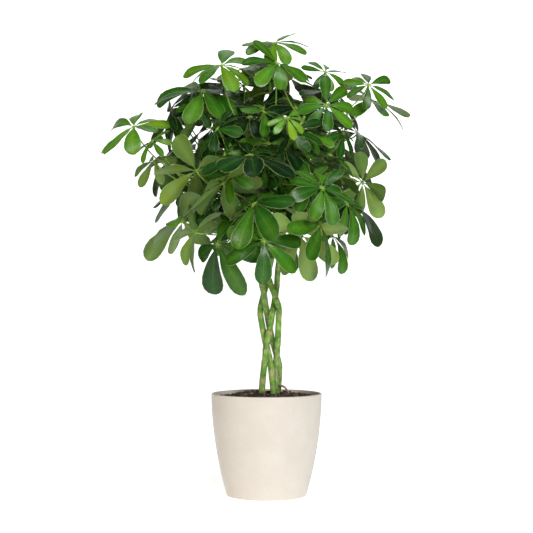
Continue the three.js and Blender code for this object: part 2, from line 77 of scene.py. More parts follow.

# %% Stems, shoots and leaves: points, mm and degrees
STEMS = {
    "a": [
        [24, 18, 190], [26, 18, 230], [29, 19.5, 280], [27.5, 20.5, 298], [23, 18.5, 315], [18, 15, 333],
        [12, 13, 352], [3, 9.5, 400], [0.5, 2, 415], [-2, -7, 430], [-6, -11, 455], [-11, -13, 480],
        [-8, -17, 505], [-5, -15, 545], [-4, -14, 580], [-2, -28, 640], [-28, -48, 720], [-42, -58, 800],
        [-50, -45, 870],
    ],
    "b": [
        [16, -12, 190], [16, -12, 230], [11, -6, 280], [8.5, -2, 298], [5, 0.5, 315], [1, 2, 333],
        [-4, 3, 352], [-13, 5, 400], [-14, 8.5, 415], [-12, 9, 430], [-6, 9, 455], [0, 11, 480],
        [6, 14, 510], [14, 8, 545], [21, 6, 580], [20, 15, 640], [14, 0, 720], [15, -6, 800], [12, 4, 880],
        [10, 10, 940],
    ],
    "c": [
        [-12, -4, 190], [-11, -4, 230], [-6.5, -8, 280], [-4.5, -10.5, 298], [-2.5, -14, 315], [-1, -15, 333],
        [2.5, -15, 352], [11.5, -12, 400], [14, -6, 415], [17, 1, 430], [21, 5, 455], [24, 5, 480],
        [26, 0, 510], [30, -8, 545], [34, -14, 580], [55, -20, 640], [80, -10, 720], [95, 10, 790],
        [98, 25, 850],
    ],
    "d": [
        [19, 3, 190], [19.5, 3.5, 230], [21, 6, 280], [22, 5, 298], [23, 2, 315], [24.5, -1, 333],
        [26, -3, 352], [27.5, -8, 400], [28.5, -11.5, 415], [26, -14, 430], [17, -13, 455], [8, -9, 480],
        [-3, 0, 507], [-19, -3, 545], [-38, -8, 580], [-72, 8, 640], [-92, 38, 710], [-86, 60, 790],
    ],
}
# A surface root: it leaves stem a just above the soil and arches into it.
SURFACE_ROOT = [[28, 12, 246], [41, 4, 243], [50, 0, 229], [52, 0, 215]]
# Side shoots: the stem that they grow from, then points outwards.
SHOOTS = [
    ["a", [[-22, -45, 700], [-60, -90, 740], [-85, -115, 790]]],
    ["a", [[-3, -22, 622], [-40, -80, 640], [-60, -120, 650]]],
    ["b", [[18, 8, 670], [30, 70, 720], [40, 120, 770]]],
    ["b", [[15, -3, 760], [60, -50, 800], [85, -70, 850]]],
    ["c", [[62, -18, 660], [105, -75, 690], [115, -110, 710]]],
    ["c", [[86, -4, 740], [140, 0, 770], [175, 5, 810]]],
    ["c", [[48, -18, 622], [100, 40, 660], [120, 80, 700]]],
    ["d", [[-80, 18, 665], [-130, 0, 690], [-165, -15, 730]]],
    ["d", [[-66, 5, 630], [-70, 70, 670], [-70, 115, 720]]],
]
# Leaves: hub x, y, z; the way the upper face looks (turn round from +X, rise above the level); spin of the
# first leaflet, leaflet length, leaflets, droop of the umbrella; and youth, from 0 for an old dark leaf
# to 1 for a yellow-green one that has just opened. The youth also holds painted light and shade: leaves
# deep in the crown are given a low one so that they look darker, and some well-lit front leaves a higher one.
LEAVES = [
    [18, -20, 1022, -95, 62, 20, 84, 9, 0, 0.42],
    [25, -70, 967, -80, 54, 0, 88, 8, 0, 0.38],
    [-100, -85, 960, -97, 60, 12, 95, 9, 4, 0.44],
    [-144, -60, 906, -97, 60, -10, 118, 8, 4, 0.36],
    [-300, -20, 832, -118, 57, 25, 100, 8, -3, 0.52],
    [-257, -35, 798, -130, 35, 5, 54, 7, 10, 0.60],
    [-54, 60, 938, -90, 45, 0, 46, 6, 6, 0.60],
    [-37, -100, 843, -95, 56, 25, 84, 8, -6, 0.04],
    [44, -180, 831, -90, 40, 15, 50, 8, 34, 0.62],
    [134, 0, 959, -80, 44, 20, 58, 7, -4, 0.42],
    [133, -75, 873, -85, 26, 5, 74, 8, 4, 0.38],
    [230, -30, 925, -75, 36, 30, 68, 8, 8, 0.38],
    [242, 30, 900, -28, 60, 4, 104, 8, -4, 0.38],
    [95, -65, 813, -80, 52, 10, 62, 8, 10, 0.44],
    [67, -35, 872, -60, 34, 15, 84, 8, 8, 0.06],
    [-36, -195, 750, -98, 68, 18, 108, 8, -2, 0.10],
    [-153, -115, 724, 115, 42, 5, 100, 7, 4, 0.46],
    [-255, 5, 757, 130, 45, 25, 66, 7, 10, 0.45],
    [-94, -150, 694, 140, 50, 0, 108, 8, 10, 0.40],
    [130, -45, 752, 30, 60, 10, 80, 7, 6, 0.30],
    [95, -190, 691, -100, 30, 25, 74, 8, 6, 0.34],
    [118, -215, 678, -65, 42, 0, 82, 9, 4, 0.30],
    [218, 5, 708, 60, 22, 12, 86, 8, 0, 0.50],
    [36, -95, 775, -60, 68, 8, 88, 8, 6, 0.08],
    [-122, -45, 826, -130, 44, 16, 98, 8, 12, 0.06],
    [-216, 0, 876, -150, 26, 28, 76, 8, 8, 0.12],
    [-149, -78, 872, -95, 8, 0, 60, 6, 0, 0.32],
    [-25, -235, 644, -140, 42, 10, 112, 8, 18, 0.32],
    [-187, -60, 616, 140, 50, 22, 112, 8, 0, 0.42],
    [-156, -95, 590, 150, 20, 0, 94, 7, 6, 0.40],
    [-106, -155, 562, -120, 12, 41, 118, 7, 6, 0.28],
    [-57, -120, 592, 160, 40, 24, 92, 7, 6, 0.28],
    [-5, -205, 567, -80, 26, 5, 90, 7, 8, 0.38],
    [74, -165, 581, 105, 22, 27, 106, 8, 4, 0.54],
    [116, -180, 602, -30, 16, 18, 106, 7, 4, 0.32],
    [178, -70, 655, -30, 30, 6, 92, 8, 14, 0.34],
    [150, 10, 588, -20, 34, 22, 90, 7, 14, 0.38],
    [-8, -40, 872, -90, 34, 12, 84, 8, 10, 0.14],
]
# Ways in which a leaflet may turn, drop, roll and shorten to pass its neighbours: degrees and a factor.
BENDS = [
    [0, 0, 0, 1], [0, 12, 0, 1], [0, -12, 0, 1], [9, 0, 12, 1], [-9, 0, -12, 1], [0, 24, 0, 1],
    [0, -22, 0, 1], [9, 14, 0, 1], [-9, 14, 0, 1], [9, -14, 0, 1], [-9, -14, 0, 1], [0, 0, 0, 0.8],
    [0, 36, 0, 0.9], [10, 26, 16, 0.9], [-10, 26, -16, 0.9], [10, -24, 16, 0.9], [-10, -24, -16, 0.9],
    [0, 16, 0, 0.72], [0, -16, 0, 0.72], [0, 48, 0, 0.8], [0, -36, 0, 0.75], [0, 8, 0, 0.6],
    [0, -30, 0, 0.6], [0, 40, 0, 0.6],
]
print("tables:", len(LEAVES), "front leaves,", 2 * BACK_SHOOTS, "back leaves,", len(SHOOTS), "side shoots")

# %% [markdown]
# ## Curves and directions
# Every stem follows a smooth curve through its listed points (a Catmull-Rom curve: each stretch is
# the cubic whose slope at a point is half the step between the point's neighbours). A petiole is a
# single cubic Bezier arc: it leaves the stem sideways and meets the leaf from behind.

# %% Curves
def unit(vectors):
    """Vectors scaled to length 1."""
    return vectors / norm(vectors, axis=-1, keepdims=True)


def direction(turn, rise):
    """The direction at a turn round the upright axis and a rise above the level, both in radians."""
    level = math.cos(rise)
    return np.array((math.cos(turn) * level, math.sin(turn) * level, math.sin(rise)))


def curve_points(points, t):
    """Points of the smooth curve through given points, at shares t (an array) from start 0 to end 1."""
    points = np.asarray(points, float)
    padded = np.vstack([2 * points[0] - points[1], points, 2 * points[-1] - points[-2]])
    place = np.asarray(t, float) * (len(points) - 1)
    first = np.minimum(place.astype(int), len(points) - 2)
    w = (place - first)[:, None]
    before, start, end, after = (padded[first + k] for k in range(4))
    slope_in, slope_out = 0.5 * (end - before), 0.5 * (after - start)
    return (start + slope_in * w + (3 * (end - start) - 2 * slope_in - slope_out) * w ** 2
            + (2 * (start - end) + slope_in + slope_out) * w ** 3)


def curve_length(points):
    """The smooth curve's length, as the sum of 299 short steps."""
    return float(norm(np.diff(curve_points(points, np.linspace(0, 1, 300)), axis=0), axis=1).sum())


def bezier(corners, t):
    """Points of the cubic arc with four control corners."""
    t = np.asarray(t, float)[:, None]
    a, b, c, d = corners
    return a * (1 - t) ** 3 + 3 * b * t * (1 - t) ** 2 + 3 * c * t ** 2 * (1 - t) + d * t ** 3


def share(i, j):
    """A share between 0 and 1, spread evenly by two irrational steps, the same on every run."""
    return ((i + 1) * 0.6180339887 + (j + 1) * 0.7548776662) % 1


print("stem a is about", round(curve_length(STEMS["a"])), "mm long")

# %% [markdown]
# ## The leaves' habit
# A dwarf schefflera leaf is a parasol: six to nine stalked leaflets spread from one hub at the
# petiole's end. Each leaflet leaves the hub in its own direction, droops a little more towards its
# tip, and may turn, drop, roll or stay short where a neighbour is in its way. Which of those ways
# each leaflet took, and where on the stems each petiole is rooted, can be read back from the solids:
# the right answer is the one whose corners are found among the solid's own corners.

# %% One leaf's geometry
class Leaf:
    """One hand-shaped leaf: its hub, the way its upper face looks, and the habit of its leaflets."""

    def __init__(self, row, index):
        x, y, z, turn, rise, spin, length, count, droop, youth_and_shade = row
        self.index, self.length, self.count, self.youth_and_shade = index, length, count, youth_and_shade
        self.hub = np.array((x, y, z), float)
        self.breadth = BROADNESS * (0.55 + 0.45 * min(1, length / 90))  # young leaflets are narrower
        self.droop, self.spin = math.radians(droop), math.radians(spin)
        turn = math.radians(turn)
        self.face = direction(turn, math.radians(rise))
        self.right = np.array((-math.sin(turn), math.cos(turn), 0))
        self.up = np.cross(self.face, self.right)

    def outward(self, turn):
        """The direction out from the hub at a turn round the leaf's face."""
        return self.right * math.cos(turn) + self.up * math.sin(turn)

    def leaflet(self, j, bend, t):
        """Leaflet j's middle line at shares t: points, sideways and upward directions, and its length.

        The line is an arc: it starts at a droop angle below the leaf's face and bends by a further
        arch angle over its length, so a point is the hub plus the integral of the arc's direction.
        """
        yaw, drop, roll, shorter = BENDS[bend]
        wobble = share(self.index, j) - 0.5
        twist = share(3 * self.index, 5 * j) - 0.5
        turn = self.spin + math.tau * (j + WANDER * wobble) / self.count
        root, aim = self.outward(turn), self.outward(turn + math.radians(yaw))
        sunny = root @ unit(self.hub - CROWN_MIDDLE)
        length = self.length * shorter * (0.98 + 0.12 * sunny - SHRINK * share(j, self.index))
        start = self.droop * (0.5 + 0.5 * root[2]) + math.radians(drop) + NOD * wobble
        arch = 0.15 + 0.75 * share(self.index + j, 7)
        across = np.cross(self.face, aim)
        t = np.asarray(t, float)[:, None]
        dip = start + arch * t
        turned = (math.radians(roll) + TWIST * twist) * t
        middle = (self.hub + root * HUB_RADIUS + aim * length * (np.sin(dip) - math.sin(start)) / arch
                  - self.face * length * (math.cos(start) - np.cos(dip)) / arch)
        over = self.face * np.cos(dip) + aim * np.sin(dip)
        side = across * np.cos(turned) + over * np.sin(turned)
        above = over * np.cos(turned) - across * np.sin(turned)
        return middle, side, above, length


def back_leaf(i, second):
    """The table row of a leaf on the crown's far side, where the higher leaves are younger; its low youth is
    painted shade that darkens it inside the crown.
    """
    rise = -44 + 112 * ((i + 0.5) / BACK_SHOOTS) + (14 if second else -8)
    turn = 90 + 60 * math.sin(2.4 * i) + (16 if second else -16)
    out = direction(math.radians(turn), math.radians(rise))
    length = 94 + 22 * share(i, 3 if second else 4)
    # youth, kept low as painted shade inside the crown, and higher for the higher, younger leaves
    youth_and_shade = 0.16 + 0.14 * out[2] + 0.24 * (share(len(LEAVES) + 2 * i + second, 9) - 0.5)
    return [*(out * CROWN_RADII + CROWN_MIDDLE), turn, 32 + 0.3 * (rise + 48), 38 * share(i, 1), length,
            7, 12 + 14 * share(i, 2), youth_and_shade]


print("a leaf of the far side looks towards", back_leaf(0, 0)[3:5], "degrees")

# %% Growth places on the stems and shoots
def growth_places(between=False):
    """The places that a petiole may grow from, or those halfway between: point, direction, radius, stem."""
    marks = [(points, STEM_RADIUS, NODE_STEPS, FIRST_NODE, letter) for letter, points in STEMS.items()]
    marks += [(points, TWIG_RADIUS, SHOOT_NODES, 0, letter) for letter, points in SHOOTS]
    found = []
    for points, radius, count, lowest, letter in marks:
        t = np.arange(1, count) / count if between else (np.arange(count) + 0.5) / count
        at = curve_points(points, t)
        along = unit(curve_points(points, t + 0.01) - curve_points(points, t - 0.01))
        found += [(a, b, radius, letter) for a, b in zip(at, along) if a[2] > lowest]
    return found


PLACES = growth_places()
print("growth places:", len(PLACES))

# %% Each leaf's root and ways, read back from its solid
WIDEST = 0.68  # share of a leaflet's length where its solid is widest
SOLID_HALF = 0.4  # half the solid blade's thickness there, mm
FIT = 0.05  # a predicted corner counts as found when a real corner lies this near, mm


def petiole_foot(place, towards):
    """Where a petiole leaves the stem's skin, and in which direction."""
    at, along, radius, _ = place
    out = towards - at
    out = unit(out - along * (out @ along))
    return at + out * (radius + GAP), out


def corners_of(thing):
    """The corners of a solid or a piece, mm."""
    return np.array([v.co for v in thing.data.vertices]) / MM


def find_place(corners, towards):
    """The growth place whose petiole foot is found in the solid."""
    for place in PLACES:
        foot, _ = petiole_foot(place, towards)
        gaps = np.abs(norm(corners - foot, axis=1) - PETIOLE_RADIUS * ROOT_FLARE)
        if (gaps < FIT).sum() >= 3:
            return place
    return None


def find_bend(leaf, j, corners):
    """Which of its ways leaflet j took; None if the leaflet was left out."""
    for bend in range(len(BENDS)):
        middle, side, above, length = leaf.leaflet(j, bend, [WIDEST])
        half = leaf.breadth * length / 2
        wanted = [middle[0] + side[0] * w * half + above[0] * h * SOLID_HALF
                  for w in (-1, 1) for h in (-1, 1)]
        if all(norm(corners - corner, axis=1).min() < FIT for corner in wanted):
            return bend
    return None


single = [[Leaf(row, i)] for i, row in enumerate(LEAVES)]
paired = [[Leaf(back_leaf(i, second), len(LEAVES) + 2 * i + second) for second in (0, 1)]
          for i in range(BACK_SHOOTS)]
SPRAYS = {f"leaf_{i + 1:02d}" + ("_pair" if len(leaves) > 1 else ""): leaves
          for i, leaves in enumerate(single + paired)}
for node, leaves in SPRAYS.items():
    corners = corners_of(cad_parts[node])
    towards = np.mean([leaf.hub for leaf in leaves], axis=0)
    for leaf in leaves:
        leaf.place, leaf.towards = find_place(corners, towards), towards
        leaf.bends = [find_bend(leaf, j, corners) for j in range(leaf.count)]
LARGE = [leaf for leaves in SPRAYS.values() for leaf in leaves]
print("rooted leaves:", sum(leaf.place is not None for leaf in LARGE),
      "leaflets read back:", sum(bend is not None for leaf in LARGE for bend in leaf.bends))

# %% [markdown]
# ## Small helpers
# Colours are picked as sRGB hex values, which is how a paint chart gives them, and Blender's shaders
# want linear light, so one function turns one into the other. A finish is one material, built up as a
# list of steps, and a skin gathers arrays of points and faces into one named piece that rides on the
# plant and stands for its solid.

# %% Colours and material steps
def linear(code):
    """An sRGB hex colour as linear red, green, blue and alpha."""
    values = np.array([int(code[i:i + 2], 16) for i in (1, 3, 5)]) / 255
    low, high = values / 12.92, ((values + 0.055) / 1.055) ** 2.4
    return (*np.where(values <= 0.04045, low, high), 1.0)


class Finish:
    """One material; each step adds a shader node and returns a value for later steps."""

    def __init__(self, name):
        self.material = bpy.data.materials.new(name)
        self.material.use_nodes = True
        self.material.node_tree.nodes.clear()
        self.place = self.node("TexCoord").outputs["Object"]

    def node(self, kind, settings=None, **inputs):
        """Adds a shader node: settings are its properties, inputs are values or other nodes' outputs.

        An input is named by its label with _ for a space, or by in0, in1 and so on for its number.
        """
        node = self.material.node_tree.nodes.new("ShaderNode" + kind)
        for key, value in (settings or {}).items():
            setattr(node, key, value)
        for key, value in inputs.items():
            numbered = key.startswith("in") and key[2:].isdigit()
            socket = node.inputs[int(key[2:])] if numbered else node.inputs[key.replace("_", " ")]
            if isinstance(value, bpy.types.NodeSocket):
                self.material.node_tree.links.new(value, socket)
            else:
                socket.default_value = value
        return node

    def maths(self, operation, *values):
        """One step of arithmetic."""
        inputs = {f"in{i}": value for i, value in enumerate(values)}
        return self.node("Math", {"operation": operation}, **inputs).outputs[0]

    def sum(self, one, other):
        return self.maths("ADD", one, other)

    def times(self, one, other):
        return self.maths("MULTIPLY", one, other)

    def spread(self, value, low, high, to_low=0.0, to_high=1.0):
        """A value stretched from low..high to another span, smoothly and never beyond it."""
        return self.node("MapRange", {"interpolation_type": "SMOOTHSTEP"}, in0=value, in1=low, in2=high,
                         in3=to_low, in4=to_high).outputs[0]

    def noise(self, period, detail, roughness=0.55, at=None):
        """Cloudy noise whose lumps are about period metres across."""
        return self.node("TexNoise", in0=at or self.place, Scale=1 / period, Detail=detail,
                         Roughness=roughness).outputs["Fac"]

    def own(self, name):
        """A value kept on the piece's own points."""
        return self.node("Attribute", {"attribute_name": name}).outputs["Fac"]

    def ramp(self, factor, stops):
        """Colours along a factor: stops are (place, sRGB hex)."""
        node = self.node("ValToRGB", in0=factor)
        elements = node.color_ramp.elements
        while len(elements) < len(stops):
            elements.new(0.5)
        for element, (place, code) in zip(elements, stops):
            element.position, element.color = place, linear(code)
        return node.outputs["Color"]

    def mix(self, factor, one, other, how="MIX"):
        """Two colours blended by a factor."""
        one, other = (linear(c) if isinstance(c, str) else c for c in (one, other))
        settings = {"data_type": "RGBA", "blend_type": how}
        return self.node("Mix", settings, in0=factor, in6=one, in7=other).outputs[2]

    def bump(self, height, distance, strength):
        """A surface normal tilted by a height pattern, distance in metres."""
        return self.node("Bump", Strength=strength, Distance=distance, Height=height).outputs[0]

    def coat(self, **inputs):
        """A surface that reflects as its inputs say."""
        return self.node("BsdfPrincipled", **inputs).outputs[0]

    def done(self, shader):
        """The finished material."""
        self.node("OutputMaterial", Surface=shader)
        return self.material


print("a middle grey in linear light:", round(float(linear("#808080")[0]), 3))

# %% Objects, tubes and measures
def placed(name, data):
    """A new object in the scene."""
    thing = bpy.data.objects.new(name, data)
    bpy.context.scene.collection.objects.link(thing)
    return thing


def smooth_mesh(name, points, faces, materials):
    """A smooth-shaded mesh, its points in metres."""
    mesh = bpy.data.meshes.new(name)
    mesh.from_pydata(points, [], faces)
    mesh.polygons.foreach_set("use_smooth", np.ones(len(faces), bool))
    for material in materials:
        mesh.materials.append(material)
    return mesh


def round_turns(sides):
    """Angles once round, clockwise seen from above, so that tubes' faces look outwards."""
    return -math.tau * np.arange(sides) / sides


def tube_faces(rings, sides):
    """Faces of a closed tube: quads between neighbouring rings, and a fan to a pole at each end.

    Points are numbered ring after ring; the start pole and the end pole follow them.
    """
    pairs = [(k, (k + 1) % sides) for k in range(sides)]
    quads = [[first + a, first + a + sides, first + b + sides, first + b]
             for first in range(0, (rings - 1) * sides, sides) for a, b in pairs]
    last, pole = (rings - 1) * sides, rings * sides
    return quads + [[pole, a, b] for a, b in pairs] + [[pole + 1, last + b, last + a] for a, b in pairs]


def tube_points(line, radii, sides, reference):
    """Rings round a middle line; radii may be one per ring or one per point."""
    ahead = unit(np.gradient(line, axis=0))
    side = unit(np.cross(reference, ahead))
    up = np.cross(ahead, side)
    turn = round_turns(sides)
    radii = np.broadcast_to(np.asarray(radii, float).reshape(len(line), -1), (len(line), sides))
    ring = side[:, None, :] * np.cos(turn)[None, :, None] + up[:, None, :] * np.sin(turn)[None, :, None]
    points = line[:, None, :] + ring * radii[..., None]
    return np.vstack([points.reshape(-1, 3), line[:1], line[-1:]])


def tree_of(points, faces):
    """A search tree of a surface."""
    return BVHTree.FromPolygons([tuple(p) for p in points], [tuple(f) for f in faces])


def volume(points, faces):
    """Signed volume of a closed surface: positive when its faces look outwards."""
    fans = np.array([(face[0], face[k], face[k + 1]) for face in faces for k in range(1, len(face) - 1)])
    a, b, c = (points[fans[:, k]] for k in range(3))
    return float(np.einsum("ij,ij->i", a, np.cross(b, c)).sum() / 6)


print("a tube of 3 rings of 8 points has", len(tube_faces(3, 8)), "faces")

# %% Skins: surfaces gathered into pieces
class Skin:
    """Collects closed surfaces: each face has a finish number, each point a value and own coordinates."""

    def __init__(self):
        self.points, self.faces, self.finishes, self.values, self.uvs, self.margins = ([] for _ in range(6))
        self.count = 0

    def add(self, points, faces, finishes, values=0.0, uvs=None, margins=False):
        """Adds a surface; margins says which points lie on a sharp edge."""
        self.points.append(points)
        self.faces += [[i + self.count for i in face] for face in faces]
        self.finishes += list(np.broadcast_to(finishes, len(faces)))
        self.values.append(np.broadcast_to(values, len(points)))
        self.uvs.append(np.zeros((len(points), 2)) if uvs is None else uvs)
        self.margins.append(np.broadcast_to(margins, len(points)))
        self.count += len(points)

    def tree(self):
        """A search tree of all the surfaces."""
        return tree_of(np.vstack(self.points), self.faces)

    def piece(self, name, node, slot, materials, value_name):
        """A Blender object in metres that rides on the plant and stands for a solid, if there is one."""
        mesh = smooth_mesh(name, (np.vstack(self.points) * MM).tolist(), self.faces, materials)
        mesh.polygons.foreach_set("material_index", np.array(self.finishes, np.int32))
        values = mesh.attributes.new(value_name, "FLOAT", "POINT")
        values.data.foreach_set("value", np.concatenate(self.values).astype(np.float32))
        corners = np.empty(len(mesh.loops), np.int32)
        mesh.loops.foreach_get("vertex_index", corners)
        layer = mesh.uv_layers.new(name="surface")
        layer.data.foreach_set("uv", np.vstack(self.uvs)[corners].astype(np.float32).ravel())
        ends = np.empty(2 * len(mesh.edges), np.int32)
        mesh.edges.foreach_get("vertices", ends)
        on_margin = np.concatenate(self.margins)[ends.reshape(-1, 2)].all(axis=1)
        if on_margin.any():
            sharp = mesh.attributes.new("sharp_edge", "BOOLEAN", "EDGE")
            sharp.data.foreach_set("value", on_margin)
        thing = placed(name, mesh)
        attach(thing, "root")
        if node:
            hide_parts(node)
        return thing


print("a skin gathers", *vars(Skin()))

# %% [markdown]
# ## Leaf material
# A schefflera leaflet has a waxy, dark green upper face with a pale sunken midrib and faint side
# veins, and a dull, lighter underside where the midrib stands out. Young leaves are yellow-green, and
# leaves deep in the crown are painted darker, as shade, through the same youth value.
# Both faces use the leaflet's own coordinates: across from edge to edge, and along from stalk to tip.
# A leaf also lets a little light through, so a share of each face is translucent.

# %% Leaf and stalk materials
VEINS = 15  # side veins on each half of a leaflet
VEIN_SLANT = 0.42  # how far they run towards the tip on their way to the edge
BLUER, YELLOWER = "#c8ecec", "#fff0a8"  # tints by which whole leaves drift from pure green
THROUGH = "#8fc01e"  # the green of light that comes through a leaf
WAX_INDEX = 1.45  # index of refraction of leaf wax


def leaf_veins(f):
    """The midrib and the side veins as two values from 0 to 1; also the way from the midrib and along."""
    uv = f.node("UVMap", {"uv_map": "surface"}).outputs[0]
    across, along, _ = f.node("SeparateXYZ", in0=uv).outputs
    off_middle = f.maths("ABSOLUTE", f.maths("SUBTRACT", across, 0.5))
    slanted = f.maths("SUBTRACT", along, f.times(off_middle, VEIN_SLANT))
    wave = f.maths("COSINE", f.times(slanted, math.tau * VEINS))
    return f.spread(off_middle, 0.030, 0.008), f.spread(wave, 0.80, 1.0), off_middle, along


def leaf_face(name, stops, rib_colour, roughness, see_through, vein_depth):
    """One face of a leaflet: its green by youth and painted shade, then ribs, a pale rim and a fine grain
    over it.
    """
    f = Finish(name)
    midrib, side_veins, off_middle, along = leaf_veins(f)
    mottle, drift, fine = f.noise(0.018, 4.0), f.noise(0.075, 2.0), f.noise(0.0022, 2.0)
    # the youth value carries painted shade too: leaves deep in the crown have a low one and look darker
    tone = f.sum(f.own("youth_and_shade"), f.spread(mottle, 0.3, 0.7, -0.02, 0.02))
    tone = f.sum(tone, f.spread(off_middle, 0.0, 0.5, 0.05, -0.07))
    colour = f.ramp(tone, stops)
    colour = f.mix(f.spread(drift, 0.50, 0.72), colour, BLUER, "MULTIPLY")
    colour = f.mix(f.spread(drift, 0.50, 0.28), colour, YELLOWER, "MULTIPLY")
    colour = f.mix(f.times(side_veins, 0.04), colour, rib_colour)
    fading = f.maths("SUBTRACT", 0.20, f.times(along, 0.16))
    colour = f.mix(f.times(midrib, fading), colour, rib_colour)
    colour = f.mix(f.spread(off_middle, 0.455, 0.490, 0.0, 0.60), colour, rib_colour)
    colour = f.mix(f.spread(fine, 0.35, 0.75, 0.0, 0.04), colour, "#ffffff", "OVERLAY")
    veins = f.times(f.maths("MAXIMUM", midrib, side_veins), vein_depth)
    normal = f.bump(f.sum(f.times(mottle, 0.3), veins), 0.0006, 0.15)
    rough = f.sum(roughness, f.spread(mottle, 0.3, 0.7, -0.03, 0.04))
    face = f.coat(Base_Color=colour, Roughness=rough, IOR=WAX_INDEX, Specular_IOR_Level=0.4, Normal=normal)
    glow = f.node("BsdfTranslucent", Color=f.mix(0.5, colour, THROUGH), Normal=normal).outputs[0]
    return f.done(f.node("MixShader", in0=see_through, in1=face, in2=glow).outputs[0])


def stalk_finish():
    """Smooth living green stalk with cloudy paler parts and fine brown flecks."""
    f = Finish("fresh_green_stalk")
    cloud, fine = f.noise(0.006, 3.0), f.noise(0.0012, 2.0)
    colour = f.ramp(cloud, [(0.3, "#5f8c26"), (0.55, "#86ad3c"), (0.75, "#a5c25c")])
    colour = f.mix(f.spread(fine, 0.55, 0.75, 0.0, 0.35), colour, "#7a6a3c")
    return f.done(f.coat(Base_Color=colour, Roughness=0.45, IOR=WAX_INDEX, Normal=f.bump(fine, 0.0004, 0.5)))


# waxy evergreen leaf, upper face: about 0.25 rough, its veins sunken
# the dark ends of these ramps serve old leaves and the painted shade of leaves deep in the crown
UPPER = leaf_face("waxy_leaf_upper_face", [(0.0, "#08240f"), (0.25, "#225614"), (0.5, "#52881c"),
                  (0.75, "#7ca826"), (1.0, "#a3c23c")], "#a9c86e", 0.25, 0.12, -1.0)
# the same leaf's dull underside: about 0.48 rough, its veins standing out
UNDER = leaf_face("dull_leaf_underside", [(0.0, "#2b4a20"), (0.25, "#587835"), (0.5, "#7e9c4a"),
                  (1.0, "#a8c266")], "#b0c87c", 0.48, 0.14, 1.0)
STALK = stalk_finish()
LEAF_FINISHES = [UPPER, UNDER, STALK]
FACE_UP, FACE_DOWN, ON_STALK = range(3)  # their numbers on a piece's faces
print("leaf materials:", *[material.name for material in LEAF_FINISHES])

# %% [markdown]
# ## Leaflet surfaces
# A leaflet could be a flat cut-out with a picture of a leaf on it, but then it would have no
# thickness and no fold. Here it is a closed skin: eight points round the blade at each of twelve
# stations from stalk to tip. Its half width follows u^0.75 (1 - u^4)^0.6, which is narrow at the stalk,
# widest at two thirds and round at the tip. Its halves rise from the midrib in a shallow V and curl
# down again at the margins, and the margins wave a little.

# %% A leaflet's outline and faces
STATIONS = np.array([0.0, 0.06, 0.11, 0.17, 0.26, 0.37, 0.50, 0.63, 0.76, 0.87, 0.95, 0.99])
STALK_END = 0.07  # share of a leaflet that is bare stalk
ACROSS = np.array([-1, -0.55, 0, 0.55, 1, 0.55, 0, -0.55])
UPPER_SIDE = np.array([0, 1, 1, 1, 0, -1, -1, -1])
LOBE_PEAK = 0.649  # the outline formula's greatest value


def outline(t):
    """A leaflet's half width at share t, over its greatest half width."""
    u = np.clip((t - STALK_END) / (1 - STALK_END), 0, 1)
    return u ** 0.75 * (1 - u ** 4) ** 0.6 / LOBE_PEAK


def leaflet_faces():
    """The triangles that every leaflet shares, and the finish of each.

    Each quad between two stations is split so that both sides of the blade share their diagonals:
    on a rolled blade, different diagonals would let the underside show through.
    """
    sides = len(ACROSS)
    tube, quads = tube_faces(len(STATIONS), sides), (len(STATIONS) - 1) * sides
    faces, finishes = [], []
    for a, b, c, d in tube[:quads]:
        station, k = divmod(a, sides)
        upper = k < sides // 2
        faces += [(a, b, c), (a, c, d)] if upper else [(a, b, d), (b, c, d)]
        bare = STATIONS[station] < STALK_END - 0.03
        finishes += [ON_STALK if bare else FACE_UP if upper else FACE_DOWN] * 2
    finishes += [ON_STALK] * sides + [FACE_UP if k < sides // 2 else FACE_DOWN for k in range(sides)]
    return faces + tube[quads:], np.array(finishes)


LEAFLET_FACES, LEAFLET_FINISHES = leaflet_faces()
print("a leaflet has", len(LEAFLET_FACES), "triangles")

# %% A leaflet's points
STALK_HALF, STALK_THICK = 1.25, 0.75  # half the stalk's width and thickness, mm
STALK_SUNK = 2.4  # mm by which the stalk reaches into the hub
BLADE_HALF = 0.38  # half the blade's thickness at the midrib, mm
FOLD, FOLD_SPREAD, CURL, LEAN = 0.26, 0.16, 0.20, 0.06  # rise and fall of the halves over their width
WAVE, WAVES = 0.008, 2.1  # the margin's wave: height over the length, and how many there are
RIB, GROOVE = 0.75, 0.35  # mm, at the stalk


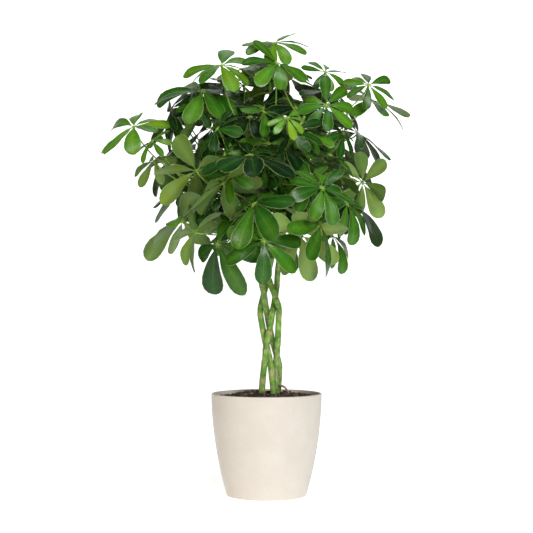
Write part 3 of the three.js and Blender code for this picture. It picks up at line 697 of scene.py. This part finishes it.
def leaflet_surface(leaf, j, bend):
    """One leaflet's points, their own coordinates, and whether each lies on its margin."""
    t = np.append(STATIONS, 1.0)
    middle, side, above, length = leaf.leaflet(j, bend, t)
    middle[0] -= leaf.outward(leaf.spin + math.tau * j / leaf.count) * STALK_SUNK
    blade = outline(t) * leaf.breadth * length / 2
    half = np.maximum(blade, STALK_HALF * (1 - 0.5 * t))
    stalk = np.clip(1 - blade / 3, 0, 1)
    thick = BLADE_HALF + (STALK_THICK - BLADE_HALF) * stalk
    s = ACROSS[None, :]
    fold = FOLD + FOLD_SPREAD * (share(j, leaf.index + 3) - 0.5)
    wave = WAVE * length * np.sin(math.tau * (WAVES * t + share(j, 5 + leaf.index)))
    lean = np.where(ACROSS < 0, share(j, 11), share(j, 13)) - 0.5
    rise = ((half * (1 - stalk))[:, None] * (fold * np.abs(s) - CURL * s ** 2 + LEAN * lean * s ** 2)
            + wave[:, None] * s ** 2 * np.sign(s) * (1 - stalk)[:, None])
    body = UPPER_SIDE * np.sqrt(1 - s ** 2) * thick[:, None]
    rib = np.where((ACROSS == 0) & (UPPER_SIDE < 0), RIB * (1 - 0.8 * t)[:, None], 0.0)
    groove = np.where((ACROSS == 0) & (UPPER_SIDE > 0), GROOVE * (1 - t)[:, None], 0.0)
    height = rise + body - (rib + groove) * (1 - stalk)[:, None]
    rings = (middle[:, None, :] + side[:, None, :] * (half[:, None] * s)[..., None]
             + above[:, None, :] * height[..., None])
    points = np.vstack([rings[:-1].reshape(-1, 3), middle[:1], middle[-1:]])
    own = np.stack(np.broadcast_arrays((s + 1) / 2, t[:-1, None]), axis=-1).reshape(-1, 2)
    uvs = np.vstack([own, [[0.5, 0.0], [0.5, 1.0]]])
    on_blade = np.repeat(t[:-1] > STALK_END, len(ACROSS))
    margins = np.append(np.tile(np.abs(ACROSS) == 1, len(STATIONS)) & on_blade, [False, True])
    return points, uvs, margins


sample = SPRAYS["leaf_04"][0]
sample_points = leaflet_surface(sample, 0, sample.bends[0])[0]
print("one leaflet holds", round(volume(sample_points, LEAFLET_FACES)), "mm3")

# %% Petioles and knobs
PETIOLE_SIDES = 8
PETIOLE_STATIONS = [0, 0.02, 0.05, 0.1, 0.2, 0.3, 0.4, 0.5, 0.6, 0.7, 0.8, 0.9, 1]
PETIOLE_SWELL = [1.5, 1.42, 1.2, 1.02, 0.95, 0.92, 0.9, 0.9, 0.9, 0.92, 0.95, 1, 1.08]
PETIOLE_OUT, PETIOLE_UP, PETIOLE_BACK = 0.3, 0.1, 0.32  # where its arc's corners lie, over its reach
KNOB = [(-3.6, 2.1), (-2.0, 3.1), (-0.4, 3.7), (0.9, 3.4), (1.7, 2.2)]  # height above the hub, radius


def petiole_surface(leaf):
    """The petiole with its flared foot, and the knob that the leaflets grow from."""
    at, along, *_ = leaf.place
    foot, out = petiole_foot(leaf.place, leaf.towards)
    far = norm(leaf.hub - at)
    corners = (foot, foot + out * PETIOLE_OUT * far + along * PETIOLE_UP * far,
               leaf.hub - leaf.face * PETIOLE_BACK * far, leaf.hub - leaf.face * (HUB_HEIGHT / 2 + 4))
    knob = np.array([leaf.hub + leaf.face * rise for rise, _ in KNOB])
    line = np.vstack([bezier(corners, PETIOLE_STATIONS), knob])
    radii = np.concatenate([PETIOLE_RADIUS * np.array(PETIOLE_SWELL), [radius for _, radius in KNOB]])
    reference = unit(np.cross(out, leaf.face) + 0.01)
    return tube_points(line, radii, PETIOLE_SIDES, reference), tube_faces(len(line), PETIOLE_SIDES)


print("one petiole holds", round(volume(*petiole_surface(sample))), "mm3")

# %% The large leaves
VARIETY, SMALL_VARIETY = 0.24, 0.2  # how much the leaflets of a leaf, and of a small leaf, differ in youth


def grow(skin, leaf, blades, variety):
    """Adds a leaf to a skin: its petiole, its hub and its leaflets, which vary in youth."""
    skin.add(*petiole_surface(leaf), ON_STALK, leaf.youth_and_shade)
    for j, (points, uvs, margins) in blades:
        youth_and_shade = leaf.youth_and_shade + variety * (share(leaf.index, 20 + j) - 0.5)
        skin.add(points, LEAFLET_FACES, LEAFLET_FINISHES, youth_and_shade, uvs, margins)


leaf_pieces = {}
for node, leaves in SPRAYS.items():
    skin = Skin()
    for leaf in leaves:
        blades = [(j, leaflet_surface(leaf, j, bend))
                  for j, bend in enumerate(leaf.bends) if bend is not None]
        grow(skin, leaf, blades, VARIETY)
    leaf_pieces[node] = skin.piece("umbrella_" + node, node, "leaf", LEAF_FINISHES, "youth_and_shade")
print("leaf pieces:", len(leaf_pieces), "faces:", sum(len(p.data.polygons) for p in leaf_pieces.values()))

# %% [markdown]
# ## Bark
# A dwarf schefflera's stem stays green for years. Each fallen leaf leaves a pinkish scar that reaches
# part of the way round the stem, on a slight swelling, and pale corky streaks run along the bark, most
# of them near the soil. The scars are worked out along each stem, one every 9 to 32 mm, each turned by
# the golden angle from the last, as the leaves were. They swell the tube and are also kept as a value
# for colour.

# %% Bark material
STRETCH = (1.0, 1.0, 0.28)  # makes the corky streaks long


def bark_finish():
    """Green living bark with pinkish leaf scars, pale corky streaks and fine pores."""
    f = Finish("green_living_bark")
    height = f.node("SeparateXYZ", in0=f.place).outputs[2]
    cloud, pores, flecks = f.noise(0.016, 4.0), f.noise(0.0016, 2.0), f.noise(0.005, 3.0)
    stretched = f.node("VectorMath", {"operation": "MULTIPLY"}, in0=f.place, in1=STRETCH).outputs[0]
    streaks = f.noise(0.0042, 3.0, at=stretched)
    green = f.ramp(cloud, [(0.3, "#3c7410"), (0.5, "#659c28"), (0.7, "#98bf58")])
    cork = f.ramp(streaks, [(0.3, "#a98672"), (0.6, "#c6a592"), (0.8, "#dcc6b6")])
    low = f.spread(height, 0.50, 0.24)
    colour = f.mix(f.times(f.spread(streaks, 0.57, 0.63), f.sum(f.times(low, 0.45), 0.40)), green, cork)
    ragged = f.times(f.maths("SUBTRACT", flecks, 0.5), 1.3)
    scarred = f.spread(f.sum(f.own("scar"), ragged), 0.32, 0.60)
    colour = f.mix(f.times(scarred, 0.9), colour, f.ramp(cloud, [(0.35, "#a0705c"), (0.65, "#cba28e")]))
    colour = f.mix(f.spread(pores, 0.64, 0.74, 0.0, 0.35), colour, "#6d5a34")
    return f.done(f.coat(Base_Color=colour, IOR=1.5, Roughness=f.spread(streaks, 0.3, 0.7, 0.34, 0.6),
                         Normal=f.bump(f.sum(streaks, f.times(pores, 0.6)), 0.0009, 0.7)))


BARK = bark_finish()
print("bark material:", BARK.name)

# %% Stems, shoots and the surface root
GOLDEN_ANGLE = math.radians(137.5)
STEM_AROUND, TWIG_AROUND = 16, 12  # points round a tube
STEM_TAPER, TWIG_TAPER, ROOT_TAPER = 0.22, 0.15, 0.1  # how much thinner the tip is
STEM_SEED, TWIG_SEED, ROOT_SEED = 40, 60, 59
ROOT_SCAR = 0.8  # the root is brown all over
RING_STEP = 2.5  # mm between a stem's rings
SCAR_WIDTH, FIRST_SCAR, SCAR_STEPS = 1.9, 12.0, (9, 32)  # mm
SWELLING, UNEVEN = 0.35, 0.6  # mm on the radius: at a scar, and along the stem


def stem_surface(points, radius, sides, seed, taper, least_scar=0.0):
    """A stem's tube with a swelling at each leaf scar: points, faces, finish and each point's scar value."""
    reach = curve_length(points)
    count = int(reach / RING_STEP)
    t = np.linspace(0, 1, count)
    line = curve_points(points, t)
    ahead, along, turn = unit(np.gradient(line, axis=0)), t * reach, round_turns(sides)
    draw = np.random.default_rng(seed)
    scar, swelling = np.zeros((count, sides)), np.zeros((count, sides))
    place, k = FIRST_SCAR, 0
    while place < reach:
        facing = 0.5 + 0.5 * np.cos(turn - GOLDEN_ANGLE * k)
        off = (along[:, None] - place - 2.0 * facing ** 2) / SCAR_WIDTH
        scar = np.maximum(scar, np.exp(-off ** 2) * np.clip(1.5 * facing - 0.15, 0, 1))
        swelling = np.maximum(swelling, np.exp(-(off / 1.8) ** 2) * (0.3 + 0.7 * facing))
        place, k = place + draw.uniform(*SCAR_STEPS), k + 1
    lumps = sum(draw.uniform(0.1, 0.25) * np.cos(along[:, None] / draw.uniform(5, 22) + n * turn
                + draw.uniform(0, 6)) for n in (0, 1, 2, 3))
    radii = radius * (1 - taper * t[:, None] ** 2) + SWELLING * swelling + UNEVEN * lumps
    radii[-1] *= 0.7
    reference = np.array((0.31, 0.95, 0.05))
    if np.abs(ahead @ reference).max() >= 0.9:  # the stem runs along it somewhere
        reference = np.array((0.95, -0.1, 0.3))
    values = np.maximum(np.append(scar.ravel(), [0.0, 0.3]), least_scar)
    return tube_points(line, radii, sides, reference), tube_faces(count, sides), 0, values


stem_pieces = {}
for number, (letter, points) in enumerate(STEMS.items()):
    skin = Skin()
    skin.add(*stem_surface(points, STEM_RADIUS, STEM_AROUND, STEM_SEED + number, STEM_TAPER))
    for k, (origin, shoot) in enumerate(SHOOTS):
        if origin == letter:
            skin.add(*stem_surface(shoot, TWIG_RADIUS, TWIG_AROUND, TWIG_SEED + k, TWIG_TAPER))
    if letter == "a":
        skin.add(*stem_surface(SURFACE_ROOT, ROOT_RADIUS, TWIG_AROUND, ROOT_SEED, ROOT_TAPER,
                                ROOT_SCAR))
    node = "stem_" + letter
    stem_pieces[node] = skin.piece("green_" + node, node, "green_bark", [BARK], "scar")
print("stems:", {name: len(p.data.polygons) for name, p in stem_pieces.items()})

# %% [markdown]
# ## Small shaded leaves
# Close to its stems a real crown is filled with small leaves that get little light. They are too many
# for the solids, so they are added here. Each is tried on a free growth place, with its hub a short
# reach away, and each of its leaflets takes the first of its ways that crosses nothing and keeps a
# small distance. A leaf stays only where its petiole and enough of its leaflets find room.

# %% Small leaves where there is room
SMALL_TRIES, SMALL_SEED = 1500, 31
SMALL_BOUND = 0.85  # how far out their hubs may lie, as a share of the crown's radii
SMALL_ROOM = 1.3  # mm kept free round a small leaf
SMALL_WAYS = 11  # how many of the ways each leaflet tries
SMALL_FEWEST = 5  # leaflets that a small leaf has at least
SMALL_LENGTHS, SMALL_REACHES = (46, 78), (45, 150)  # mm
SMALL_COUNTS = (6, 7, 7, 8)  # leaflets
FIRST_SMALL = 100  # their numbers start here
SMALL_FAR = 260  # mm between two hubs from which the leaves can't meet
SMALL_LIFTS, SMALL_TURNS, SMALL_RISES = (-15, 45), (-30, 30), (8, 55)  # degrees: petiole, then upper face
SMALL_SPINS, SMALL_DROOPS = (0, 60), (4, 24)  # degrees
FOOT_RINGS = 3  # rings of a petiole that lie in its own stem's scar, and aren't tested


def has_room(points, faces, trees):
    """Whether a surface crosses none of the trees and keeps its distance from them at every corner."""
    own = tree_of(points, faces)
    return not any(own.overlap(tree) for tree in trees) and all(
        tree.find_nearest(Vector(p), SMALL_ROOM)[0] is None for tree in trees for p in points)


def small_leaf(place, index, draw):
    """A small leaf on a growth place, its hub drawn at random within a petiole's reach."""
    turn, lift = draw.uniform(0, 360), math.radians(draw.uniform(*SMALL_LIFTS))
    hub = place[0] + direction(math.radians(turn), lift) * draw.uniform(*SMALL_REACHES)
    leaf = Leaf([*hub, turn + draw.uniform(*SMALL_TURNS), draw.uniform(*SMALL_RISES),
                 draw.uniform(*SMALL_SPINS), draw.uniform(*SMALL_LENGTHS), draw.choice(SMALL_COUNTS),
                 draw.uniform(*SMALL_DROOPS), 0.12 + 0.36 * share(index, 9)], index)
    leaf.place, leaf.towards = place, leaf.hub
    return leaf


def blades_with_room(leaf, trees):
    """The leaflets of a small leaf that find room: none where its petiole or too few of them do."""
    points, faces = petiole_surface(leaf)
    foot, start_pole = FOOT_RINGS * PETIOLE_SIDES, len(points) - 2
    beyond = [face for face in faces if min(face) >= foot and start_pole not in face]
    points[:foot] = points[start_pole] = points[foot].copy()
    blades = []
    if has_room(points, beyond, trees):
        for j in range(leaf.count):
            ways = (leaflet_surface(leaf, j, bend) for bend in range(SMALL_WAYS))
            blade = next((way for way in ways if has_room(way[0], LEAFLET_FACES, trees)), None)
            if blade:
                blades.append((j, blade))
    return blades if len(blades) >= SMALL_FEWEST else []


free = [place for place in PLACES if not any(place is leaf.place for leaf in LARGE)] + growth_places(True)
print("free growth places:", len(free))

# %% The small leaves
crown = Skin()
for piece in [*leaf_pieces.values(), *stem_pieces.values()]:
    crown.add(corners_of(piece), [list(face.vertices) for face in piece.data.polygons], 0)
crown_tree = crown.tree()
draw = random.Random(SMALL_SEED)
small_skins, grown = {letter: Skin() for letter in STEMS}, []
for index in range(SMALL_TRIES):
    place = draw.choice(free)
    leaf = small_leaf(place, FIRST_SMALL + index, draw)
    near = [tree for hub, tree in grown if norm(hub - leaf.hub) < SMALL_FAR]
    inside = norm((leaf.hub - CROWN_MIDDLE) / CROWN_RADII) <= SMALL_BOUND
    blades = blades_with_room(leaf, [crown_tree, *near]) if inside else []
    if blades:
        own = Skin()
        for skin in (own, small_skins[place[3]]):
            grow(skin, leaf, blades, SMALL_VARIETY)
        grown.append((leaf.hub, own.tree()))
        free = [other for other in free if other is not place]
for letter, skin in small_skins.items():
    skin.piece("small_leaves_of_stem_" + letter, None, "leaf", LEAF_FINISHES, "youth_and_shade")
print("small leaves:", len(grown), "faces:", sum(len(skin.faces) for skin in small_skins.values()))

# %% [markdown]
# ## Soil
# Peat compost is a low mound of crumbs. The mound is a disc of points whose height is the parabola
# of the solid's mound plus many small cosine bumps, closed down to the pot's floor. On it lie crumbs
# and bark chips: 20-sided lumps, each stretched, turned and sunk by its own drawn numbers.

# %% Peat material and mound
SOIL_SLACK = 0.7  # mm between the soil and the pot's wall
SOIL_AROUND = 144
SOIL_SIDE = [8, 60, 120, 170, 205]  # heights of the rings up its side, mm
MOUND_REACHES = [*np.linspace(1, 0.93, 6), *np.linspace(0.9, 0.02, 36)]  # its rings, over the soil's radius
BUMP_COUNT, BUMP_DEPTH = 26, 0.55  # depth in mm
SOIL_SEED = 7


def wall_radius(z):
    """The pot's outer radius at a height, mm."""
    return POT_FOOT_RADIUS + (POT_RIM_RADIUS - POT_FOOT_RADIUS) * (1 - (1 - z / POT_HEIGHT) ** POT_CURVE)


def turned(radius, z, turn):
    """A ring of points at a height."""
    return np.stack([radius * np.cos(turn), radius * np.sin(turn), np.broadcast_to(z, turn.shape)], axis=1)


def peat_finish():
    """Damp peat: dark brown crumbs with purple-brown and pale fibrous bits."""
    f = Finish("crumbly_peat")
    grain, lump = f.noise(0.0026, 5.0, 0.65), f.noise(0.012, 3.0)
    tone = f.sum(f.times(f.own("crumb"), 0.62), f.times(grain, 0.5))
    colour = f.ramp(tone, [(0.15, "#2b201c"), (0.45, "#47362f"), (0.7, "#6b5850"), (0.95, "#a08e80")])
    colour = f.mix(f.spread(lump, 0.35, 0.65, 0.0, 0.4), colour, "#3a2f2b")
    return f.done(f.coat(Base_Color=colour, Roughness=0.92, IOR=1.4, Normal=f.bump(grain, 0.002, 0.9)))


SOIL_RADIUS = wall_radius(SOIL_EDGE) - POT_WALL - SOIL_SLACK
STEM_HOLES = np.array([curve_points(points, [1 / (len(points) - 1)])[0][:2] for points in STEMS.values()])
draw = np.random.default_rng(SOIL_SEED)
BUMPS = [(draw.uniform(0.2, 0.8), draw.uniform(0, math.tau), draw.uniform(0, 6), 1 / draw.uniform(2, 11))
         for _ in range(BUMP_COUNT)]


def mound_height(x, y):
    """The soil's height at a place, mm: its bumps are lower near the pot's wall."""
    r = np.hypot(x, y) / SOIL_RADIUS
    bumps = sum(depth * np.cos((x * math.cos(way) + y * math.sin(way)) * pace + start)
                for depth, way, start, pace in BUMPS) * BUMP_DEPTH
    return SOIL_EDGE + SOIL_MOUND * (1 - r ** 2) + bumps * np.clip(6 * (1 - r), 0.15, 1)


def mound():
    """The soil body: rings from the pot's floor up its wall and in over the mound."""
    turn = round_turns(SOIL_AROUND)
    rings = [turned(wall_radius(z) - POT_WALL - SOIL_SLACK, z, turn) for z in SOIL_SIDE]
    for reach in MOUND_REACHES:
        x, y = (SOIL_RADIUS * reach * f(turn) for f in (np.cos, np.sin))
        rings.append(np.stack([x, y, mound_height(x, y)], axis=1))
    poles = [[0, 0, SOIL_SIDE[0]], [0, 0, float(mound_height(np.array(0.0), np.array(0.0)))]]
    return np.vstack([*rings, poles]), tube_faces(len(rings), SOIL_AROUND)


mound_points, mound_faces = mound()
print("the mound holds", round(volume(mound_points, mound_faces) / 1e6, 2), "litres")

# %% Crumbs
CRUMBS = 1500
CRUMB_SIZES, CRUMB_REACH = (1.2, 6.5), 1.6  # mm; its longest half over its size
CRUMB_SPREAD = (1.0, 0.42)  # middle and width of the bell curve of the sizes' logarithms
CRUMB_SHAPES = ((0.8, 1.5), (0.6, 1.1), (0.45, 0.9))  # each lump's length, width and height over its size
KNOBBLY, TIPPED, RAISED = 0.22, 0.5, 0.25  # unevenness, tilt in radians, height of the middle over the size


def turned_pair(a, b, angle):
    """Two coordinates of each lump's points after a turn by the lump's angle."""
    cos, sin = np.cos(angle)[:, None], np.sin(angle)[:, None]
    return a * cos - b * sin, a * sin + b * cos


def crumb_shape():
    """An icosahedron: 12 corners, 2 from their neighbours, and a face for each three neighbours."""
    golden = (1 + 5 ** 0.5) / 2
    four = [(a, b * golden, 0) for b in (1, -1) for a in (-1, 1)]
    corners = np.vstack([np.roll(four, k, axis=1) for k in range(3)])
    faces = []
    for face in itertools.combinations(range(12), 3):
        three = corners[list(face)]
        if norm(three - np.roll(three, 1, axis=0), axis=1).max() < 2.1:
            faces.append(face if np.linalg.det(three) > 0 else face[::-1])  # so that it looks outwards
    return unit(corners), np.array(faces)


corners, faces = crumb_shape()
size = np.clip(draw.lognormal(*CRUMB_SPREAD, CRUMBS), *CRUMB_SIZES)
angle, reach = draw.uniform(0, math.tau, CRUMBS), np.sqrt(draw.uniform(0, 1, CRUMBS))
reach *= SOIL_RADIUS - CRUMB_REACH * size - 0.5
centre = np.stack([reach * np.cos(angle), reach * np.sin(angle)], axis=1)
stretch = np.stack([draw.uniform(*limits, CRUMBS) for limits in CRUMB_SHAPES], axis=1) * size[:, None]
knobbly = 1 + draw.uniform(-KNOBBLY, KNOBBLY, (CRUMBS, 12))
lumps = corners[None] * knobbly[..., None] * stretch[:, None, :]
spin, tip = draw.uniform(0, math.tau, CRUMBS), draw.uniform(-TIPPED, TIPPED, CRUMBS)
x, z = turned_pair(lumps[..., 0], lumps[..., 2], tip)
x, y = turned_pair(x, lumps[..., 1], spin)
z = z + (mound_height(*centre.T) + RAISED * size)[:, None]
world = np.stack([x + centre[:, :1], y + centre[:, 1:], z], axis=-1)
to_stem = norm(centre[:, None] - STEM_HOLES[None], axis=2).min(axis=1)
kept = np.flatnonzero(to_stem > STEM_RADIUS + CRUMB_REACH * size)
crumb_faces = (faces[None] + 12 * np.arange(len(kept))[:, None, None]).reshape(-1, 3)
crumb_tone = np.repeat(draw.uniform(0, 1, CRUMBS)[kept] ** 1.4, 12)
skin = Skin()
skin.add(mound_points, mound_faces, 0, 0.3)
skin.add(world[kept].reshape(-1, 3), crumb_faces.tolist(), 0, crumb_tone)
soil_piece = skin.piece("peat_soil", "soil", "peat", [peat_finish()], "crumb")
print("soil:", len(kept), "crumbs,", len(soil_piece.data.polygons), "faces")

# %% [markdown]
# ## Pot
# A moulded plastic pot is one turned wall: a curved flare from foot to rim, a rounded lip and a
# smooth inside. The outline is listed from the middle of the underside round to the middle of the
# floor inside, and turned about the upright axis.

# %% Pot material and turned wall
POT_AROUND = 160
FOOT_ROUND = 3  # radius of the rounding at the foot, mm
FOOT_INSET = 14  # the flat underside ends this far inside the foot, mm


def pot_finish():
    """Matt cream plastic with a very fine moulded grain and a faint unevenness of tone."""
    f = Finish("matt_cream_plastic")
    speck, cloud = f.noise(0.0024, 3.0), f.noise(0.06, 2.0)
    colour = f.ramp(cloud, [(0.3, "#d5ccc1"), (0.7, "#dad3c8")])
    colour = f.mix(f.spread(speck, 0.50, 0.72, 0.0, 0.30), colour, "#c4b49d")
    return f.done(f.coat(Base_Color=colour, Roughness=0.5, IOR=1.46, Normal=f.bump(speck, 0.00025, 0.6)))


def pot_outline():
    """Radius and height of the wall's outline, from the underside round to the floor inside."""
    foot = [(wall_radius(FOOT_ROUND) - FOOT_ROUND * (1 - math.sin(a)), FOOT_ROUND * (1 - math.cos(a)))
            for a in np.linspace(0, math.pi / 2, 5)]
    outside = [(wall_radius(z), z) for z in np.linspace(8, POT_HEIGHT - 4, 34)]
    lip_half = POT_WALL / 2
    middle = wall_radius(POT_HEIGHT) - lip_half
    lip = [(middle + lip_half * math.cos(a), POT_HEIGHT - lip_half + lip_half * math.sin(a))
           for a in np.linspace(0, math.pi, 9)]
    inside = [(wall_radius(z) - POT_WALL, z) for z in np.linspace(POT_HEIGHT - 6, 12, 16)]
    corner = [(inside[-1][0] - 2, 8), (inside[-1][0] - 6, POT_FLOOR)]
    return [(POT_FOOT_RADIUS - FOOT_INSET, 0), *foot, *outside, *lip, *inside, *corner]


rings = [turned(radius, z, round_turns(POT_AROUND)) for radius, z in pot_outline()]
pot_points = np.vstack([*rings, [[0, 0, 0], [0, 0, POT_FLOOR]]])
pot_faces = tube_faces(len(rings), POT_AROUND)
skin = Skin()
skin.add(pot_points, pot_faces, 0)
skin.piece("cream_pot", "pot", "pot_plastic", [pot_finish()], "plain")
print("pot wall holds", round(volume(pot_points, pot_faces) / 1000), "cm3 of plastic")

# %% [markdown]
# ## Studio
# The plant stands on a white paper sweep in soft light: a large lamp from the upper right in front, a
# warmer, weaker one from the left, one from above and a faint one from behind for the edges of the
# leaves. The paper glows, which is painted light: it stands in for lamp light on the paper, most behind
# the plant and less in front of it, where it also washes out the plant's shadow on the floor, and the
# glow fades to the sides and high up, so that dark glossy leaves stay dark.

# %% Lamps and the dim room
LAMPS = {  # place and target in metres, side in metres, watts, colour
    "key": ((1.35, -3.0, 1.7), (0, 0, 0.7), 1.3, 86, "#fbfdff"),
    "fill": ((-2.4, -2.2, 1.2), (0, 0, 0.5), 2.0, 16, "#ffe4c4"),
    "top": ((-0.5, -0.9, 2.6), (0, 0, 0.8), 0.9, 22, "#ffffff"),
    "rim": ((0.2, 1.7, 2.7), (0, 0, 0.8), 1.4, 4, "#ffffff"),
}
ROOM_LIGHT = 0.05  # of the dim white room around


def add_lamp(name, place, target, size, power, colour):
    """A square soft lamp that looks at a point."""
    lamp = bpy.data.lights.new(name, "AREA")
    lamp.shape, lamp.size, lamp.energy, lamp.color = "SQUARE", size, power, linear(colour)[:3]
    thing = placed(name, lamp)
    thing.location = place
    thing.rotation_euler = (Vector(place) - Vector(target)).to_track_quat("Z", "Y").to_euler()


for name, lamp in LAMPS.items():
    add_lamp(name, *lamp)
world = bpy.data.worlds.new("dim_white_room")
world.use_nodes = True
background = world.node_tree.nodes["Background"].inputs
background["Color"].default_value, background["Strength"].default_value = (1, 1, 1, 1), ROOM_LIGHT
scene = bpy.context.scene
scene.world = world
print("lamps:", *LAMPS)

# %% Paper sweep
# painted light: the paper's glow in front of the plant washes out its shadow on the floor
GLOW_BEFORE, GLOW_BEHIND = 0.50, 0.95  # the paper's own light in front of the plant and behind it
GLOW_FROM, GLOW_TO = -0.6, 1.2  # metres along Y between the two
GLOW_SIDE, GLOW_HIGH = (2.2, 3.4), (2.6, 3.8)  # metres aside and up over which the glow fades
GLOW_BEYOND = 0.12  # the share of it that is left there
SWEEP_HALF_WIDTH = 9.0
SWEEP_FRONT, SWEEP_BACK, SWEEP_RADIUS, SWEEP_TOP = -9.0, 4.0, 2.0, 9.0  # metres
FLOOR_DROP = 0.0005  # metres between the pot's underside and the paper


def glowing_paper_finish():
    """White paper with a painted glow, most behind the plant, that stands in for the lamp light on a studio
    sweep.
    """
    f = Finish("white_studio_paper")
    x, y, z = f.node("SeparateXYZ", in0=f.place).outputs
    glow = f.spread(y, GLOW_FROM, GLOW_TO, GLOW_BEFORE, GLOW_BEHIND)
    glow = f.times(glow, f.spread(f.maths("ABSOLUTE", x), *GLOW_SIDE, 1.0, GLOW_BEYOND))
    glow = f.times(glow, f.spread(z, *GLOW_HIGH, 1.0, GLOW_BEYOND))
    return f.done(f.coat(Base_Color=linear("#f2f2f2"), Roughness=0.95, Specular_IOR_Level=0.0,
                         Emission_Color=(1.0, 1.0, 1.0, 1.0), Emission_Strength=glow))


curve = [(SWEEP_BACK + SWEEP_RADIUS * math.sin(a), SWEEP_RADIUS * (1 - math.cos(a)))
         for a in np.linspace(0, math.pi / 2, 17)]
sweep = [(SWEEP_FRONT, 0.0), *curve, (SWEEP_BACK + SWEEP_RADIUS, SWEEP_TOP)]
sweep_points = [(x, y, z) for x in (-SWEEP_HALF_WIDTH, SWEEP_HALF_WIDTH) for y, z in sweep]
sweep_faces = [(k, len(sweep) + k, len(sweep) + k + 1, k + 1) for k in range(len(sweep) - 1)]
floor = placed("studio_sweep", smooth_mesh("studio_sweep", sweep_points, sweep_faces, [glowing_paper_finish()]))
floor.location.z = -FLOOR_DROP

print("floor faces:", len(sweep_faces))

# %% Camera
CAMERA_PLACE = (0.0, -3.0, 0.46)
CAMERA_TILT = 91.08  # degrees from looking straight down
CAMERA_LENS = 89.3  # mm on a 36 mm wide sensor
scene.view_settings.view_transform = "Standard"
scene.view_settings.look = "None"

camera = placed("camera", bpy.data.cameras.new("camera"))
camera.data.lens = CAMERA_LENS
camera.location = CAMERA_PLACE
camera.rotation_euler = (math.radians(CAMERA_TILT), 0, 0)
scene.camera = camera
print("studio ready")
